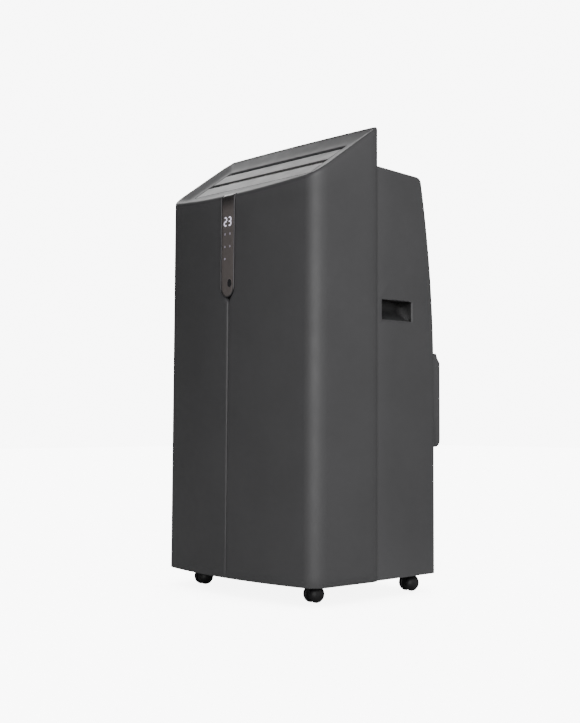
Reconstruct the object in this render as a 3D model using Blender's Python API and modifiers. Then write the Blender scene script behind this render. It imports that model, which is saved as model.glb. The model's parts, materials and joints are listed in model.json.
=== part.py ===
"""Portable air conditioner on four twin-wheel casters.

Metres, +Z up. The origin is on the floor under the middle of the object.
-Y is the front with the display, +Y the back with the air inlets, +X the right side.
"""
import math

import bmesh
import bpy
from mathutils import Matrix, Vector

# ---- driving dimensions -------------------------------------------------------------------------
GAP = 0.0003                  # clearance between pieces that touch
WALL = 0.0025                 # moulded casing wall

FRONT_WIDTH = 0.3883          # front shell at the front corners
SEAM_WIDTH = 0.3922           # front shell where it meets the rear body
REAR_WIDTH_FRONT = 0.3829     # rear body at the seam
REAR_WIDTH_BACK = 0.3774      # rear body at its back
Y_FRONT = -0.1464             # plane of the front corners
Y_SEAM = -0.0065              # seam between the front shell and the rear body
Y_BACK = 0.1378               # back face
Y_BOSS = 0.1598               # outer face of the exhaust outlet
BOW = 0.0150                  # how far the front bows out at its middle
CORNER = 0.031                # front corner radius
REAR_CORNER = 0.009
RETURN = 0.013                # how far the back panel wraps round its corners
SEAM_ROLL = 0.019             # length of the rolled edge at the seam
SEAM_LIP_X = 0.1918           # the rolled edge ends here
PAN_INSET = 0.0031            # base pan inside the casing
PAN_FLOOR = 0.0032
GROOVE_HALF = 0.0048          # crease down the middle of the front
GROOVE_DEPTH = 0.0058

Z_CASE = 0.0294               # underside of the casing
Z_REAR_CASE = 0.0302
Z_BROW = 0.6659               # top edge of the front
Z_CREST = 0.7650              # highest line of the slanted top
Z_REAR_TOP_FRONT = 0.6986
Z_REAR_TOP_BACK = 0.6939
TOP_ARCH = 0.0035             # fall of the slanted top from its middle to its sides
LEAN_START = 0.365            # the back leans forward above this height
LEAN_RADIUS = 1.67
LEAN_LEVELS = (LEAN_START, 0.42, 0.46, 0.50, 0.54, 0.58, 0.62, 0.65)
TOP_EDGE = 0.010              # rounding along the top back edge

RIM = 0.0060                  # depth of the top deck's outer band
FIELD = 0.0073                # depth of the louvre field below the rim
DECK = 0.0120                 # depth of the whole deck
PANEL_INSET = 0.0033          # step under the deck's band

BLADE_LENGTH = 0.3060
BLADE_CHORD = 0.0418
BLADE_THICK = 0.0030
BLADE_PITCH = 0.0488
BLADE_CENTRES = {"louvre_blade_lower": 0.0571, "louvre_blade_upper": 0.0571 + BLADE_PITCH}
BLADE_PIVOT = 0.0180          # pivot depth below the rim plane
BLADE_CRANK = 0.0110          # crank pin below the pivot
CRANK_X = -0.1592             # inner face of the crank arms, outside the duct
MOTOR_RADIUS = 0.0095
PIN = 0.0030

DUCT_X, DUCT_FRONT, DUCT_BACK, DUCT_Z = 0.1560, -0.1155, -0.0255, 0.6100
VANE_X = (-0.105, -0.035, 0.035, 0.105)
VANE_Z, VANE_HEIGHT, VANE_THICK = 0.636, 0.030, 0.0020

STRIP_HALF = 0.0160           # display strip on the front
STRIP_TOP, STRIP_LOW = 0.6530, 0.4875
TRIM = 0.0016
STRIP_PROUD = 0.0020          # the display stands out of the front

HANDLE_Y, HANDLE_Z = (0.0053, 0.0792), (0.4466, 0.4809)
HANDLE_DEPTH = 0.0320
CUP_WALL = 0.0022
CUP_FLANGE = 0.0095           # flush rim that fills a notch in the side wall

UPPER_INLET_Z, LOWER_INLET_Z, INLET_X = (0.440, 0.660), (0.070, 0.215), 0.150
EXHAUST_X, EXHAUST_Z = (0.0180, 0.1780), (0.2400, 0.3990)
EXHAUST_BORE = 0.0650
DRAINS = {"upper_drain_plug": 0.4150, "lower_drain_plug": 0.0480}
DRAIN_X = -0.168
CORD_X, CORD_Z = -0.150, 0.250

PARTITION_Z = (0.402, 0.424)
UPPER_BLOWER_Z, LOWER_BLOWER = 0.513, (-0.062, 0.315)
COMPRESSOR = (-0.090, -0.060)
ACCUMULATOR = (-0.012, -0.060)

WHEEL_RADIUS = 0.0140
CASTER_TRAIL = 0.0080
CASTERS = {"front_left": (-0.1427, -0.1055), "front_right": (0.1427, -0.1055),
           "rear_left": (-0.1528, 0.1006), "rear_right": (0.1528, 0.1006)}

SLOPE = math.atan2(Z_CREST - Z_BROW, Y_SEAM - Y_FRONT)
DECK_FRAME = Matrix.Translation((0, Y_FRONT, Z_BROW)) @ Matrix.Rotation(SLOPE, 4, "X")

# ---- scene and helpers --------------------------------------------------------------------------
for old in list(bpy.data.objects):
    bpy.data.objects.remove(old, do_unlink=True)


def new_collection(name):
    made = bpy.data.collections.new(name)
    bpy.context.scene.collection.children.link(made)
    return made


PARTS = new_collection("portable_air_conditioner")
CUTTERS = new_collection("cutters")


def material(name, colour, roughness, metallic=0.0):
    made = bpy.data.materials.new(name)
    made.use_nodes = True
    shader = made.node_tree.nodes["Principled BSDF"]
    shader.inputs["Base Color"].default_value = (*colour, 1.0)
    shader.inputs["Roughness"].default_value = roughness
    shader.inputs["Metallic"].default_value = metallic
    made.diffuse_color = (*colour, 1.0)
    return made


CASING = material("casing_plastic", (0.075, 0.075, 0.078), 0.45)
BLACK = material("black_plastic", (0.012, 0.012, 0.012), 0.40)
GLOSS = material("display_gloss", (0.060, 0.052, 0.054), 0.08)
BRIGHT = material("trim_metal", (0.55, 0.55, 0.56), 0.20, 1.0)
RUBBER = material("rubber", (0.02, 0.02, 0.02), 0.80)
STEEL = material("steel", (0.45, 0.45, 0.46), 0.40, 1.0)
COPPER = material("copper", (0.72, 0.36, 0.20), 0.30, 1.0)
FINS = material("fins", (0.72, 0.73, 0.74), 0.35, 1.0)
WHITE = material("white_plastic", (0.75, 0.75, 0.72), 0.50)
BOARD = material("circuit_board", (0.03, 0.20, 0.07), 0.50)
MESH = material("filter_mesh", (0.05, 0.05, 0.05), 0.80)
ENAMEL = material("black_enamel", (0.015, 0.015, 0.015), 0.30)


def keep(obj, finish):
    """Move a finished piece into the object's collection and give it its material."""
    for user in list(obj.users_collection):
        user.objects.unlink(obj)
    PARTS.objects.link(obj)
    obj.hide_render = False
    obj.display_type = "TEXTURED"
    obj.data.materials.clear()
    obj.data.materials.append(finish)
    return obj


def from_bmesh(name, work):
    """Make a helper object of a bmesh; keep() turns it into a piece."""
    mesh = bpy.data.meshes.new(name)
    bmesh.ops.recalc_face_normals(work, faces=work.faces)
    work.to_mesh(mesh)
    work.free()
    obj = bpy.data.objects.new(name, mesh)
    CUTTERS.objects.link(obj)
    obj.hide_render = True
    obj.display_type = "WIRE"
    return obj


def box(name, low, high, frame=Matrix.Identity(4)):
    low, high = Vector(low), Vector(high)
    work = bmesh.new()
    bmesh.ops.create_cube(work, size=1.0)
    size = high - low
    place = Matrix.Translation((low + high) / 2) @ Matrix.Diagonal((*size, 1.0))
    bmesh.ops.transform(work, matrix=frame @ place, verts=work.verts)
    return from_bmesh(name, work)


def frustum(name, low, high, low_half, high_half, centre, frame=Matrix.Identity(4)):
    """A block whose top and bottom rectangles differ; low and high are heights along Z."""
    work = bmesh.new()
    bmesh.ops.create_cube(work, size=2.0)
    for vert in work.verts:
        half = high_half if vert.co.z > 0 else low_half
        vert.co.x = centre[0] + vert.co.x * half[0]
        vert.co.y = centre[1] + vert.co.y * half[1]
        vert.co.z = high if vert.co.z > 0 else low
    bmesh.ops.transform(work, matrix=frame, verts=work.verts)
    return from_bmesh(name, work)


def rod(name, start, end, radius, segments=16, end_radius=None):
    """A round bar or cone between two points."""
    start, end = Vector(start), Vector(end)
    work = bmesh.new()
    bmesh.ops.create_cone(work, cap_ends=True, segments=segments, radius1=radius,
                          radius2=radius if end_radius is None else end_radius,
                          depth=(end - start).length)
    turn = (end - start).to_track_quat("Z", "Y").to_matrix().to_4x4()
    bmesh.ops.transform(work, matrix=Matrix.Translation((start + end) / 2) @ turn, verts=work.verts)
    return from_bmesh(name, work)


def solid_of(curve_object, frame):
    """Turn a filled curve into a closed mesh object."""
    graph = bpy.context.evaluated_depsgraph_get()
    mesh = bpy.data.meshes.new_from_object(curve_object.evaluated_get(graph))
    work = bmesh.new()
    work.from_mesh(mesh)
    bmesh.ops.remove_doubles(work, verts=work.verts, dist=1e-6)
    bmesh.ops.transform(work, matrix=frame @ curve_object.matrix_world, verts=work.verts)
    name = curve_object.name
    bpy.data.objects.remove(curve_object, do_unlink=True)
    bpy.data.meshes.remove(mesh)
    return from_bmesh(name, work)


def extrusion(name, outline, low, high, frame=Matrix.Identity(4)):
    """A flat outline in X and Y, drawn out from low to high along Z."""
    curve = bpy.data.curves.new(name, "CURVE")
    curve.dimensions = "2D"
    curve.fill_mode = "BOTH"
    curve.extrude = (high - low) / 2
    spline = curve.splines.new("POLY")
    spline.points.add(len(outline) - 1)
    for point, place in zip(spline.points, outline):
        point.co = (place[0], place[1], 0.0, 1.0)
    spline.use_cyclic_u = True
    shape = bpy.data.objects.new(name, curve)
    bpy.context.scene.collection.objects.link(shape)
    shape.location.z = (low + high) / 2
    bpy.context.view_layer.update()
    return solid_of(shape, frame)


# Frames that stand an outline up: (y, z) drawn out along X, and (x, z) drawn out along Y.
ALONG_X = Matrix(((0, 0, 1, 0), (1, 0, 0, 0), (0, 1, 0, 0), (0, 0, 0, 1)))
ALONG_Y = Matrix(((1, 0, 0, 0), (0, 0, 1, 0), (0, 1, 0, 0), (0, 0, 0, 1)))


def tube(name, points, radius, resolution=2):
    curve = bpy.data.curves.new(name, "CURVE")
    curve.dimensions = "3D"
    curve.bevel_depth = radius
    curve.bevel_resolution = resolution
    curve.use_fill_caps = True
    spline = curve.splines.new("POLY")
    spline.points.add(len(points) - 1)
    for point, place in zip(spline.points, points):
        point.co = (*place, 1.0)
    shape = bpy.data.objects.new(name, curve)
    bpy.context.scene.collection.objects.link(shape)
    bpy.context.view_layer.update()
    return solid_of(shape, Matrix.Identity(4))


def turned(name, profile, start, direction, steps=24):
    """Spin a closed profile of (radius, height) points about an axis from start."""
    mesh = bpy.data.meshes.new(name)
    mesh.from_pydata([(radius, 0.0, height) for radius, height in profile],
                     [(i, i + 1) for i in range(len(profile) - 1)], [])
    obj = bpy.data.objects.new(name, mesh)
    CUTTERS.objects.link(obj)
    obj.hide_render = True
    obj.display_type = "WIRE"
    spin = obj.modifiers.new("spin", "SCREW")
    spin.steps = spin.render_steps = steps
    spin.use_merge_vertices = True
    spin.merge_threshold = 0.00001
    obj.rotation_mode = "QUATERNION"
    obj.rotation_quaternion = Vector(direction).to_track_quat("Z", "Y")
    obj.location = start
    return obj


def boolean(obj, others, operation):
    for other in others:
        step = obj.modifiers.new(operation.lower(), "BOOLEAN")
        step.operation = operation
        step.object = other
        step.solver = "EXACT"
    return obj


def cut(obj, *others):
    return boolean(obj, others, "DIFFERENCE")


def add(obj, *others):
    return boolean(obj, others, "UNION")


def within(obj, *others):
    return boolean(obj, others, "INTERSECT")


def set_origin(obj, place):
    """Put a piece's origin on its joint's axis without moving the piece."""
    obj.data.transform(Matrix.Translation(-Vector(place)) @ obj.matrix_basis)
    obj.matrix_basis = Matrix.Translation(place)
    return obj


def arc(centre, radius, start, end, count):
    """Points of an arc; the angles are in degrees."""
    for i in range(count + 1):
        angle = math.radians(start + (end - start) * i / count)
        yield (centre[0] + radius * math.cos(angle), centre[1] + radius * math.sin(angle))


def mirrored(points):
    return [(-x, y) for x, y in reversed(points)]


def ribbon(path, thickness):
    """A closed outline that follows a path, its wall to the left of it."""
    inner = []
    for i, (x, y) in enumerate(path):
        before, after = path[max(i - 1, 0)], path[min(i + 1, len(path) - 1)]
        run = Vector((after[0] - before[0], after[1] - before[1])).normalized()
        inner.append((x - run.y * thickness, y + run.x * thickness))
    return list(path) + inner[::-1]


# ---- shared shapes ------------------------------------------------------------------------------
def front_y(x):
    """The bowed front face."""
    reach = FRONT_WIDTH / 2 - CORNER
    return Y_FRONT - BOW * (1 - (x / reach) ** 2)


def right_path(inset=0.0, start=0.0):
    """Half of the front shell's outline, from the middle of the front to the seam."""
    reach = FRONT_WIDTH / 2 - CORNER
    path = []
    for i in range(7):
        x = start + (reach - start) * i / 6
        path.append((x, front_y(x) + inset))
    path += list(arc((reach, Y_FRONT + CORNER), CORNER - inset, -90, 0, 6))[1:]
    side = SEAM_WIDTH / 2 - inset
    roll = Y_SEAM - SEAM_ROLL
    path.append((side, roll))
    path.append((side - 0.0004, roll + 0.55 * SEAM_ROLL))
    path.append((side - 0.0013, roll + 0.86 * SEAM_ROLL - inset))
    path.append((side - 0.0031, roll + 0.97 * SEAM_ROLL - inset))
    path.append((SEAM_LIP_X - inset, Y_SEAM - inset))
    return path


def shell_outline(inset=0.0):
    path = right_path(inset)
    return mirrored(path[1:]) + path


def rear_half_width(y):
    along = (y - Y_SEAM) / (Y_BACK - Y_SEAM)
    return REAR_WIDTH_FRONT / 2 + (REAR_WIDTH_BACK - REAR_WIDTH_FRONT) / 2 * along


def rear_outline(inset, front, back):
    """The rear body in plan, as wide as its back face's place makes it."""
    turn = REAR_CORNER - min(inset, REAR_CORNER - 0.002)
    corner = arc((rear_half_width(back) - inset - turn, back - inset - turn), turn, 0, 90, 4)
    right = [(rear_half_width(front) - inset, front), *corner]
    return mirrored(right) + right


def back_y(z):
    return Y_BACK - (z - LEAN_START) ** 2 / (2 * LEAN_RADIUS) if z > LEAN_START else Y_BACK


def rear_levels(inset):
    """Places of the back face as (y, z) from the underside up, round into the top."""
    low = Z_REAR_CASE - (0.01 if inset else 0.0)
    top, turn = Z_REAR_TOP_BACK - inset, TOP_EDGE - min(inset, 0.006)
    levels = [(back_y(z), z) for z in (low, *LEAN_LEVELS)]
    return levels + list(arc((back_y(top - turn) - turn, top - turn), turn, 0, 90, 4))


def rear_body(name, inset, front=Y_SEAM):
    """The rear body's full volume, drawn in by the inset: plan outlines joined from level to level."""
    work = bmesh.new()
    levels = rear_levels(inset)
    rings = [[work.verts.new((x, y, z)) for x, y in rear_outline(inset, front, back)]
             for back, z in levels]
    rise = (Z_REAR_TOP_FRONT - Z_REAR_TOP_BACK) / (levels[-1][0] - Y_SEAM)
    for vert in rings[-1]:
        vert.co.z += rise * (levels[-1][0] - inset - vert.co.y)
    for lower, upper in zip(rings, rings[1:]):
        for i, vert in enumerate(lower):
            work.faces.new((lower[i - 1], vert, upper[i], upper[i - 1]))
    work.faces.new(rings[0])
    work.faces.new(rings[-1])
    bmesh.ops.connect_verts_nonplanar(work, angle_limit=0.0005, faces=work.faces)
    return from_bmesh(name, work)


def ahead_of_back(name, distance, reach=(-0.3, 0.3)):
    """All that lies at least a distance in front of the leaning back face."""
    points = [(back_y(z) - distance, z) for z in (0.0, *LEAN_LEVELS, 0.70)]
    return extrusion(name, [(-0.1, 0.0), *points, (-0.1, 0.70)], *reach, ALONG_X)


def arched_band(name, low, high, margin=0.0):
    """A slab along the slanted top whose surfaces fall towards the sides."""
    count, reach = 12, 0.23
    across = [-reach + 2 * reach * i / count for i in range(count + 1)]

    def fall(x):
        return -TOP_ARCH * (x / (FRONT_WIDTH / 2)) ** 2
    bottom = [(x, low + fall(x)) for x in across]
    top = [(x, high + fall(x)) for x in reversed(across)]
    return extrusion(name, bottom + top, -0.10 - margin, 0.30, DECK_FRAME @ ALONG_Y)


def deck_point(x, along, height):
    return DECK_FRAME @ Vector((x, along, height))


def strip_outline(grow, top):
    """The display strip with its round lower end."""
    half = STRIP_HALF + grow
    return [(half, top), (-half, top), *arc((0.0, STRIP_LOW + STRIP_HALF), half, 180, 360, 12)]


# ---- casing -------------------------------------------------------------------------------------
def front_panels():
    """Two halves that wrap from the crease to the seam; each edge rolls in at the crease."""
    centre = front_y(0.0)
    roll = [(GAP, centre + GROOVE_DEPTH), (GROOVE_HALF * 0.45, centre + GROOVE_DEPTH * 0.55)]
    path = roll + right_path(start=GROOVE_HALF)
    section = ribbon(path, WALL)
    for side, outline in (("right", section), ("left", mirrored(section))):
        panel = extrusion("front_panel_" + side, outline, Z_CASE, 0.80)
        cut(panel, arched_band("panel_top_" + side, -RIM - GAP, 0.20, 0.01))
        cut(panel, extrusion("display_seat_" + side, strip_outline(TRIM + GAP, 0.80), -0.20, -0.14, ALONG_Y))
        keep(panel, CASING)
    backing = box("centre_strip", (-0.012, centre + GROOVE_DEPTH + WALL + 0.002, Z_CASE + 0.010),
                  (0.012, centre + GROOVE_DEPTH + WALL + 0.0045, STRIP_LOW - 0.010))
    keep(backing, BLACK)


def top_deck():
    """Slanted cover: an outer band, a sunk field with the louvre opening and a wall at its back."""
    deck = extrusion("top_deck", shell_outline(), 0.55, 0.85)
    within(deck, arched_band("deck_band", -RIM, 0.0))
    lower = extrusion("deck_lower", shell_outline(PANEL_INSET), 0.55, 0.85)
    within(lower, box("deck_lower_slab", (-0.3, -0.1, -DECK), (0.3, 0.3, -TOP_ARCH - 0.0007), DECK_FRAME))
    add(deck, lower)
    opening = (min(BLADE_CENTRES.values()) - BLADE_CHORD / 2 - 0.0006,
               max(BLADE_CENTRES.values()) + BLADE_CHORD / 2 + BLADE_PITCH - BLADE_CHORD)
    middle = (opening[0] + opening[1]) / 2
    half = (opening[1] - opening[0]) / 2
    wall = box("deck_back", (-0.1840, Y_SEAM - WALL, 0.664), (0.1840, Y_SEAM, Z_CREST - 0.008))
    add(deck, wall)
    dish = frustum("deck_dish", -FIELD, 0.004, (BLADE_LENGTH / 2 + 0.005, half + 0.006),
                   (BLADE_LENGTH / 2 + 0.036, half + 0.033), (0.0, middle - 0.001), DECK_FRAME)
    louvre_hole = box("deck_opening", (-BLADE_LENGTH / 2 - 0.0006, opening[0], -0.03),
                      (BLADE_LENGTH / 2 + 0.0006, opening[1], 0.02), DECK_FRAME)
    strip_seat = box("deck_strip_seat", (-STRIP_HALF - TRIM - GAP, -0.20, 0.60),
                     (STRIP_HALF + TRIM + GAP, front_y(0.0) + 0.0053, STRIP_TOP + GAP))
    motor_seat = rod("deck_motor_seat", deck_point(0.1595, max(BLADE_CENTRES.values()), -BLADE_PIVOT),
                     deck_point(0.1780, max(BLADE_CENTRES.values()), -BLADE_PIVOT), MOTOR_RADIUS + 0.0006, 16)
    cut(deck, dish, louvre_hole, strip_seat, motor_seat)
    keep(deck, CASING)


def handle_block(name, side, grow):
    """A block round a handle cup with its flange; it runs past the side wall and the seam."""
    outer = rear_half_width(HANDLE_Y[0]) + 0.01
    x = sorted((side * outer, side * (rear_half_width(HANDLE_Y[1]) - HANDLE_DEPTH - CUP_WALL)))
    reach = CUP_FLANGE + grow
    return box(name, (x[0], Y_SEAM - 0.01, HANDLE_Z[0] - reach),
               (x[1], HANDLE_Y[1] + reach, HANDLE_Z[1] + reach))


def rear_casing():
    """Two side walls, the back wall with its corners and the top, each a wall thick."""
    front = Y_SEAM + 2 * GAP
    top_split = Z_REAR_TOP_BACK - TOP_EDGE - 0.006
    for side, name in ((1, "right"), (-1, "left")):
        panel = rear_body("rear_side_" + name, 0.0, front)
        limits = sorted((side * 0.12, side * 0.30))
        within(panel, ahead_of_back("side_limit_" + name, RETURN, limits),
               box("side_height_" + name, (-0.3, -0.1, 0.0), (0.3, 0.3, top_split)))
        cut(panel, rear_body("side_inside_" + name, WALL, -0.1),
            handle_block("handle_hole_" + name, side, GAP))
        keep(panel, CASING)
    back = rear_body("rear_back_panel", 0.0, front)
    within(back, box("back_limit", (-0.3, 0.0, 0.0), (0.3, 0.3, top_split)))
    cut(back, rear_body("back_inside", WALL, -0.1),
        ahead_of_back("back_start", RETURN - GAP))
    for name, heights in (("upper", UPPER_INLET_Z), ("lower", LOWER_INLET_Z)):
        cut(back, box("inlet_" + name, (-INLET_X, 0.09, heights[0]), (INLET_X, 0.2, heights[1])))
    middle = (sum(EXHAUST_X) / 2, sum(EXHAUST_Z) / 2)
    cut(back, rod("exhaust_hole", (middle[0], 0.10, middle[1]), (middle[0], 0.20, middle[1]),
                  EXHAUST_BORE + 0.0028, 32))
    for name, height in DRAINS.items():
        cut(back, rod(name + "_hole", (DRAIN_X, 0.10, height), (DRAIN_X, 0.20, height), 0.0060, 12))
    cut(back, rod("cord_hole", (CORD_X, 0.10, CORD_Z), (CORD_X, 0.20, CORD_Z), 0.0060, 12))
    keep(back, CASING)
    top = rear_body("rear_top_panel", 0.0, front)
    within(top, box("top_limit", (-0.3, front, top_split + GAP), (0.3, 0.3, 0.8)))
    cut(top, rear_body("top_inside", WALL, -0.1))
    keep(top, CASING)


def handle_cups():
    """Recesses for the hands, one in each side wall, each with a flange flush in the wall."""
    for side, name in ((1, "right"), (-1, "left")):
        cup = handle_block("handle_cup_" + name, side, 0.0)
        within(cup, rear_body("cup_skin_" + name, 0.0, Y_SEAM + 2 * GAP))
        cut(cup, rear_body("cup_inside_" + name, WALL, -0.1))
        outer = side * (rear_half_width(HANDLE_Y[0]) + 0.01)
        middle = side * (rear_half_width(HANDLE_Y[1] + CUP_FLANGE) - WALL / 3)
        inner = side * (rear_half_width(HANDLE_Y[1]) - HANDLE_DEPTH)
        x = sorted((inner - side * CUP_WALL, middle))
        add(cup, box("cup_walls_" + name, (x[0], HANDLE_Y[0] - CUP_WALL, HANDLE_Z[0] - CUP_WALL),
                     (x[1], HANDLE_Y[1] + CUP_WALL, HANDLE_Z[1] + CUP_WALL)))
        x = sorted((inner, outer))
        cut(cup, box("cup_space_" + name, (x[0], HANDLE_Y[0], HANDLE_Z[0]),
                     (x[1], HANDLE_Y[1], HANDLE_Z[1])))
        keep(cup, CASING)


def pan_outline(inset):
    """The casing's outline drawn in, with a notch behind the crease of the front."""
    extra = inset - PAN_INSET
    notch_x, notch_y = 0.0135 + extra, front_y(0.0) + 0.0145 + extra
    back_half, turn = rear_half_width(Y_BACK) - inset, 0.006 - extra / 2
    right = [(notch_x, notch_y)] + right_path(inset, notch_x)[:-3]
    right += [(SEAM_LIP_X - PAN_INSET - extra, Y_SEAM - 0.0055)]
    right += list(arc((back_half - turn, Y_BACK - inset - turn), turn, 0, 90, 2))
    return mirrored(right) + right


def base_pan():
    """Floor with an upright rim and four sockets for the caster stems."""
    pan = extrusion("base_pan", pan_outline(PAN_INSET), Z_CASE + 0.0002, 0.060)
    cut(pan, extrusion("pan_inside", pan_outline(PAN_INSET + 0.003), Z_CASE + PAN_FLOOR, 0.080))
    for name, (x, y) in CASTERS.items():
        add(pan, rod("socket_" + name, (x, y, Z_CASE + 0.001), (x, y, 0.056), 0.0085, 12))
        cut(pan, rod("socket_bore_" + name, (x, y, 0.020), (x, y, 0.0535), 0.0044, 12))
    height = DRAINS["lower_drain_plug"]
    cut(pan, rod("pan_drain", (DRAIN_X, 0.120, height), (DRAIN_X, 0.15, height), 0.0060, 12))
    keep(pan, BLACK)


# ---- front display ------------------------------------------------------------------------------
def display():
    face = front_y(0.0)
    front = face - STRIP_PROUD
    trim = extrusion("display_trim", strip_outline(TRIM, STRIP_TOP), front - 0.0006, face + 0.0050, ALONG_Y)
    cut(trim, extrusion("trim_inside", strip_outline(0.0, 0.75), -0.2, -0.1, ALONG_Y))
    keep(trim, BRIGHT)
    cover = extrusion("display_cover", strip_outline(-GAP, STRIP_TOP - GAP), front, front + 0.0030, ALONG_Y)
    keep(cover, GLOSS)
    keep(box("display_board", (-0.012, face + 0.0045, 0.500), (0.012, face + 0.0061, 0.640)), BOARD)


# ---- air outlet ---------------------------------------------------------------------------------
def louvres():
    """Two blades on end pins; a link bar outside the duct joins their cranks."""
    for name, centre in BLADE_CENTRES.items():
        half = BLADE_CHORD / 2
        blade = box(name, (-BLADE_LENGTH / 2, centre - half, -FIELD - BLADE_THICK),
                    (BLADE_LENGTH / 2, centre + half, -FIELD), DECK_FRAME)
        for side in (-1, 1):
            x = sorted((side * (BLADE_LENGTH / 2 - 0.0002), side * (BLADE_LENGTH / 2 - 0.0032)))
            add(blade, box("ear_%s_%d" % (name, side), (x[0], centre - 0.005, -BLADE_PIVOT - 0.004),
                           (x[1], centre + 0.005, -FIELD - BLADE_THICK / 2), DECK_FRAME))
            add(blade, rod("pin_%s_%d" % (name, side), deck_point(side * 0.1505, centre, -BLADE_PIVOT),
                           deck_point(side * 0.1582, centre, -BLADE_PIVOT), PIN, 12))
        crank = -BLADE_PIVOT - BLADE_CRANK
        add(blade, rod("spindle_" + name, deck_point(-0.1575, centre, -BLADE_PIVOT),
                       deck_point(CRANK_X, centre, -BLADE_PIVOT), PIN, 12),
            box("arm_" + name, (CRANK_X - 0.0025, centre - 0.0038, crank - 0.0030),
                (CRANK_X, centre + 0.0038, -BLADE_PIVOT + 0.0038), DECK_FRAME),
            rod("crank_" + name, deck_point(CRANK_X - 0.0020, centre, crank),
                deck_point(CRANK_X - 0.0065, centre, crank), 0.0020, 10))
        set_origin(keep(blade, CASING), deck_point(0, centre, -BLADE_PIVOT))
    low, high = BLADE_CENTRES.values()
    crank = -BLADE_PIVOT - BLADE_CRANK
    link = box("louvre_link_bar", (CRANK_X - 0.0060, low - 0.005, crank - 0.004),
               (CRANK_X - 0.0030, high + 0.005, crank + 0.004), DECK_FRAME)
    for centre in (low, high):
        cut(link, rod("link_hole_%.3f" % centre, deck_point(CRANK_X - 0.02, centre, crank),
                      deck_point(CRANK_X + 0.02, centre, crank), 0.0024, 10))
    set_origin(keep(link, WHITE), deck_point(CRANK_X - 0.0045, high, crank))
    motor = rod("louvre_motor", deck_point(0.1600, high, -BLADE_PIVOT),
                deck_point(0.1770, high, -BLADE_PIVOT), MOTOR_RADIUS, 16)
    keep(motor, STEEL)


def outlet_duct():
    """Box below the louvres that carries the blade pins and the guide vanes."""
    duct = box("outlet_duct", (-DUCT_X - WALL, DUCT_FRONT - WALL, DUCT_Z - WALL),
               (DUCT_X + WALL, DUCT_BACK + WALL, 0.80))
    cut(duct, box("duct_inside", (-DUCT_X, DUCT_FRONT, DUCT_Z), (DUCT_X, DUCT_BACK, 0.85)),
        box("duct_inlet", (-0.070, -0.100, 0.59), (0.070, -0.035, 0.65)),
        box("duct_top", (-0.3, -0.1, -DECK - GAP), (0.3, 0.3, 0.2), DECK_FRAME))
    for name, centre in BLADE_CENTRES.items():
        cut(duct, rod("bearing_" + name, deck_point(-0.3, centre, -BLADE_PIVOT),
                      deck_point(0.3, centre, -BLADE_PIVOT), PIN + 0.0005, 12))
    for i, x in enumerate(VANE_X):
        cut(duct, rod("vane_bearing_%d" % i, (x, -0.2, VANE_Z), (x, 0.0, VANE_Z), 0.0025, 10))
    keep(duct, WHITE)


def guide_vanes():
    for i, x in enumerate(VANE_X):
        vane = box("guide_vane_%d" % (i + 1),
                   (x - VANE_THICK / 2, DUCT_FRONT + 0.001, VANE_Z - VANE_HEIGHT / 2),
                   (x + VANE_THICK / 2, DUCT_BACK - 0.001, VANE_Z + VANE_HEIGHT / 2))
        add(vane, rod("vane_pin_%d" % i, (x, DUCT_FRONT - WALL + 0.0003, VANE_Z),
                      (x, DUCT_BACK + WALL - 0.0003, VANE_Z), 0.0020, 10))
        set_origin(keep(vane, BLACK), (x, (DUCT_FRONT + DUCT_BACK) / 2, VANE_Z))


# ---- air inlets ---------------------------------------------------------------------------------
def slot_field(name, columns, rows, low, high, bar):
    """One cutter with a slot for each cell of a grid over the inlet, drawn through along Y."""
    margin = 0.008
    width = (2 * INLET_X - 2 * margin - (columns - 1) * bar) / columns
    pitch = (high - low - 2 * margin) / rows
    cell = box(name, (-INLET_X + margin, 0.09, low + margin + 0.28 * pitch),
               (-INLET_X + margin + width, 0.16, low + margin + 0.72 * pitch))
    for axis, count, step in ((0, columns, width + bar), (2, rows, pitch)):
        repeat = cell.modifiers.new("repeat", "ARRAY")
        repeat.count = count
        repeat.use_relative_offset = False
        repeat.use_constant_offset = True
        repeat.constant_offset_displace = [step if i == axis else 0.0 for i in range(3)]
        repeat.use_merge_vertices = False
    return cell


def inlets():
    """Slotted grilles that follow the back, each with a framed filter behind it."""
    for name, heights, rows, y in (("upper", UPPER_INLET_Z, 14, 0.100), ("lower", LOWER_INLET_Z, 9, 0.122)):
        low, high = heights[0] + 0.0004, heights[1] - 0.0004
        side = INLET_X - 0.0004
        grille = rear_body(name + "_inlet_grille", 0.0)
        within(grille, box(name + "_grille_limit", (-side, 0.09, low), (side, 0.2, high)))
        cut(grille, rear_body(name + "_grille_inside", WALL, -0.1),
            slot_field(name + "_slots", 4, rows, low, high, 0.008))
        keep(grille, CASING)
        half = INLET_X - 0.006
        frame = box(name + "_filter", (-half, y, low + 0.010), (half, y + 0.004, high - 0.010))
        cut(frame, box(name + "_filter_front", (-half + 0.006, y + 0.0025, low + 0.016),
                       (half - 0.006, y + 0.01, high - 0.016)))
        keep(frame, MESH)


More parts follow.
